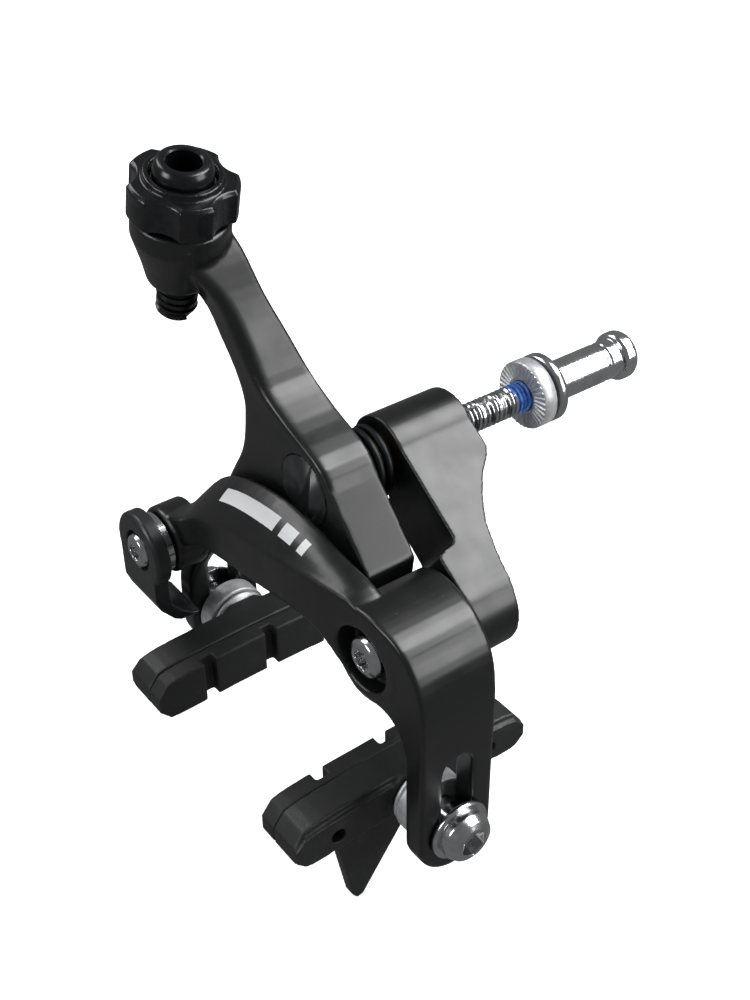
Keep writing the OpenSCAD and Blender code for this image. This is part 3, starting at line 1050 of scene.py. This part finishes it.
@dataclass
class CableAdjuster:
    """The star knob and the threaded barrel that it lifts. Sizes are in millimetres and degrees."""

    finishes: Finishes
    top: tuple[float, float, float] = (-23.5, -37.1, 54.1)
    tilt: float = 14.5
    thread_r: float = 3.75
    pitch: float = 1.25
    depth: float = 0.5
    ridge_sunk: float = 0.2
    thread_from: float = 11.0
    thread_to: float = 31.0

    def place(self) -> Matrix:
        """The adjuster's own frame: Z up its axis, zero at the collar's top.

        Returns:
            The matrix from that frame to the row's.
        """
        return Matrix.Translation(Vector(self.top) * MM) @ Matrix.Rotation(math.radians(self.tilt), 4, "Y")

    def build(self, threads: bpy.types.NodeTree) -> None:
        """Builds the knob and the barrel.

        Args:
            threads: the tree that winds a thread.
        """
        forged("adjuster_knob", "knob", self.finishes.anodised, 0.16, 3)
        root = self.thread_r - 2 * self.depth + self.ridge_sunk
        bore, hole, deep = 3.0, 1.3, -12.0
        profile = [
            (hole, deep),
            (bore, deep),
            (bore, -0.25),
            (bore + 0.25, 0.0),
            (4.2, 0.0),
            (4.5, -0.2),
            (5.15, -1.4),
            (5.15, -3.6),
            (4.95, -3.8),
            (self.thread_r, -3.8),
            (self.thread_r, -self.thread_from + 0.4),
            (root, -self.thread_from),
            (root, -self.thread_to),
            (root - 0.5, -31.8),
            (hole, -31.8),
            (hole, deep),
        ]
        core = turned(profile, self.place(), "barrel_core")
        bm = bmesh.new()
        bm.from_mesh(core)
        bmesh.ops.remove_doubles(bm, verts=bm.verts, dist=1e-7)
        bmesh.ops.recalc_face_normals(bm, faces=bm.faces)
        bm.to_mesh(core)
        bm.free()
        ridge = grown(
            threads,
            {
                "Radius": self.thread_r * MM,
                "Depth": self.depth * MM,
                "Pitch": self.pitch * MM,
                "Length": (self.thread_to - self.thread_from) * MM,
                "Finish": self.finishes.anodised,
            },
            self.place() @ Matrix.Translation((0, 0, -self.thread_to * MM)),
            "barrel_thread",
        )
        mesh = joined([core, ridge], "adjuster_barrel_form")
        shade(mesh, 35)
        piece(
            "adjuster_barrel_form",
            mesh,
            "barrel",
            [self.finishes.anodised],
            ("adjuster_barrel",),
        )


@dataclass
class CrossingArm:
    """The arm that crosses in front, with its bush and centring screw."""

    finishes: Finishes
    body: str = "c_arm"

    def build(self) -> None:
        """Builds every piece of the group."""
        f = self.finishes
        forged("c_arm", self.body, f.crown, 0.32, 5)
        machined("side_bush", self.body, f.bronze)
        machined("centring_screw", self.body, f.steel)


@dataclass
class QuickRelease:
    """The release lever and the cable anchor."""

    finishes: Finishes
    body: str = "quick_release"

    def build(self) -> None:
        """Builds every piece of the group."""
        f = self.finishes
        forged("release_lever", self.body, f.lever, 0.22, 4)
        forged("anchor_bolt", self.body, f.steel, 0.13, 2)
        for node in ("cable_clamp", "anchor_nut"):
            machined(node, self.body, f.steel)


class Side(Enum):
    """Which arm a shoe hangs on."""

    LEFT = "left"
    RIGHT = "right"


@dataclass
class BrakeShoe:
    """One brake shoe with its bolt and its stack of washers."""

    finishes: Finishes
    side: Side

    def build(self) -> None:
        """Builds every piece of the shoe."""
        f = self.finishes
        hand = self.side.value
        body = hand + "_shoe"
        forged(hand + "_holder", body, f.holder, 0.26, 5)
        forged(hand + "_rubber", body, f.rubber, 0.26, 4)
        forged(hand + "_bolt", body, f.steel, 0.15, 2)
        forged(hand + "_bolt_washer", body, f.steel, 0.14, 2)
        forged(hand + "_domed_washer", body, f.zinc, 0.2, 3)
        forged(hand + "_cup_washer", body, f.zinc, 0.2, 3)


# ---- the studio


@dataclass(frozen=True)
class Softbox:
    """One square soft light: its name, place, the side of its face and its power in watts."""

    name: str
    at: tuple[float, float, float]
    size: float
    watts: float


@dataclass
class Studio:
    """A pale floor, soft lights and the camera."""

    camera_at: tuple[float, float, float] = (0.1713, -0.1435, 0.1467)
    look_at: tuple[float, float, float] = (0.0005, -0.0175, -0.0085)
    roll: float = -0.7
    lens: float = 52.0
    sensor_mm: float = 27.0
    floor_z: float = -0.0756
    floor_half: float = 3.0
    paper_glow: float = 0.5
    sky_strength: float = 0.17
    softboxes: tuple[Softbox, ...] = (
        Softbox("overhead", (0.20, 0.42, 0.58), 0.50, 8.0),
        Softbox("side", (0.62, 0.42, 0.24), 0.42, 3.2),
        Softbox("left", (-0.42, -0.20, 0.48), 0.35, 2.0),
        Softbox("front", (-0.08, -0.62, 0.30), 0.26, 1.8),
    )

    def floor(self) -> None:
        """A wide plain floor."""
        material, tree = new_material("pale_paper_floor")
        paper = grain(tree, 2.0, 2.0)
        base = mixed(tree, paper.outputs[0], linear("f6f6f6"), linear("f9f9f9"))
        inputs = {
            "Base Color": base,
            "Roughness": 0.9,
            "Emission Color": linear("ffffff"),
            "Emission Strength": self.paper_glow,
        }
        finish_off(material, inputs, None, 0.0, 0.0)
        bm = bmesh.new()
        half = self.floor_half
        corners = [(-half, -half), (half, -half), (half, half), (-half, half)]
        bm.faces.new([bm.verts.new((x, y, self.floor_z)) for x, y in corners])
        mesh = bpy.data.meshes.new("floor")
        bm.to_mesh(mesh)
        bm.free()
        mesh.materials.append(material)
        made = bpy.data.objects.new("floor", mesh)
        bpy.context.scene.collection.objects.link(made)
        # the paper stays out of the gloss, so faces turned to it stay black
        made.visible_glossy = False

    def light(self, box: Softbox) -> None:
        """Hangs one soft light and aims it at the object.

        Args:
            box: the light.
        """
        data = bpy.data.lights.new(box.name, "AREA")
        data.shape = "SQUARE"
        data.size = box.size
        data.energy = box.watts
        lamp = bpy.data.objects.new(box.name, data)
        lamp.location = box.at
        aim = Vector(self.look_at) - Vector(box.at)
        lamp.rotation_mode = "QUATERNION"
        lamp.rotation_quaternion = aim.to_track_quat("-Z", "Y")
        bpy.context.scene.collection.objects.link(lamp)

    def camera(self) -> None:
        """The camera, looking down on the caliper's right front."""
        data = bpy.data.cameras.new("view")
        data.lens = self.lens
        data.sensor_fit = "HORIZONTAL"
        data.sensor_width = self.sensor_mm
        data.clip_start = 0.01
        made = bpy.data.objects.new("view", data)
        made.location = self.camera_at
        aim = Vector(self.look_at) - Vector(self.camera_at)
        made.rotation_mode = "QUATERNION"
        roll = Matrix.Rotation(math.radians(self.roll), 4, "Z").to_quaternion()
        made.rotation_quaternion = aim.to_track_quat("-Z", "Y") @ roll
        bpy.context.scene.collection.objects.link(made)
        bpy.context.scene.camera = made

    def build(self) -> None:
        """Builds the stage."""
        self.floor()
        for box in self.softboxes:
            self.light(box)
        world = bpy.data.worlds.new("studio")
        world.use_nodes = True
        world.node_tree.nodes.clear()
        sky = add(
            world.node_tree,
            "ShaderNodeBackground",
            None,
            {"Color": linear("ffffff"), "Strength": self.sky_strength},
        )
        add(world.node_tree, "ShaderNodeOutputWorld", None, {"Surface": sky.outputs[0]})
        bpy.context.scene.world = world
        bpy.context.scene.view_settings.view_transform = "Standard"
        self.camera()


def main() -> None:
    """Builds the studio and every sub-assembly in order."""
    logging.basicConfig(level=logging.INFO, format="%(message)s")
    Studio().build()
    finishes = Finishes()
    threads = thread_tree()
    teeth = teeth_tree()
    Bridge(finishes).build(threads, teeth)
    CentreArm(finishes).build()
    CableAdjuster(finishes).build(threads)
    CrossingArm(finishes).build()
    QuickRelease(finishes).build()
    for side in Side:
        BrakeShoe(finishes, side).build()


if __name__ == "__main__":
    main()
